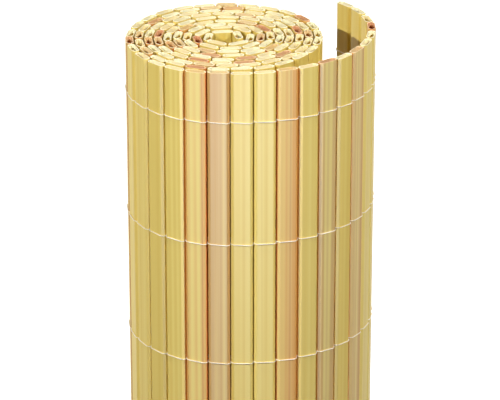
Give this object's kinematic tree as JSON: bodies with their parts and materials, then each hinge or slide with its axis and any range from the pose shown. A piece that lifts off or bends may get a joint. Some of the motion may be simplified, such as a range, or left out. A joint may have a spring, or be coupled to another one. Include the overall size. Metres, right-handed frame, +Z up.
{
  "type": "pvc privacy screen mat",
  "caption": "Rolled-up privacy screen mat of hollow bamboo-look plastic slats bound by rows of thread, standing on end with its free end sprung open.",
  "frame": {"origin": "middle of the mat's plan, on the surface that the slats' lower ends stand on", "axes": "+Z up along the slats, -Y towards the front where the free end leaves the roll, +X towards the side where the free end stands open"},
  "size_m": [0.2242, 0.1856, 0.9],
  "materials": {
    "cream_pvc": "satin, pale cream yellow with faint lengthwise streaks",
    "honey_pvc": "satin, honey brown with lengthwise streaks",
    "sand_pvc": "satin, sand beige with lengthwise streaks",
    "binding_thread": "twisted off-white thread"
  },
  "bodies": {
    "root": {"binding_thread_1": "binding_thread", "binding_thread_2": "binding_thread", "binding_thread_3": "binding_thread", "binding_thread_4": "binding_thread", "binding_thread_5": "binding_thread", "binding_thread_6": "binding_thread", "binding_thread_7": "binding_thread", "binding_thread_8": "binding_thread", "free_end_cream_slats": "cream_pvc", "free_end_honey_slats": "honey_pvc", "free_end_sand_slats": "sand_pvc", "roll_stretch_1_cream_slats": "cream_pvc", "roll_stretch_1_honey_slats": "honey_pvc", "roll_stretch_1_sand_slats": "sand_pvc", "roll_stretch_2_cream_slats": "cream_pvc", "roll_stretch_2_honey_slats": "honey_pvc", "roll_stretch_2_sand_slats": "sand_pvc", "roll_stretch_3_cream_slats": "cream_pvc", "roll_stretch_3_honey_slats": "honey_pvc", "roll_stretch_3_sand_slats": "sand_pvc", "roll_stretch_4_cream_slats": "cream_pvc", "roll_stretch_4_honey_slats": "honey_pvc", "roll_stretch_4_sand_slats": "sand_pvc", "roll_stretch_5_cream_slats": "cream_pvc", "roll_stretch_5_honey_slats": "honey_pvc", "roll_stretch_5_sand_slats": "sand_pvc"}
  },
  "joints": []
}
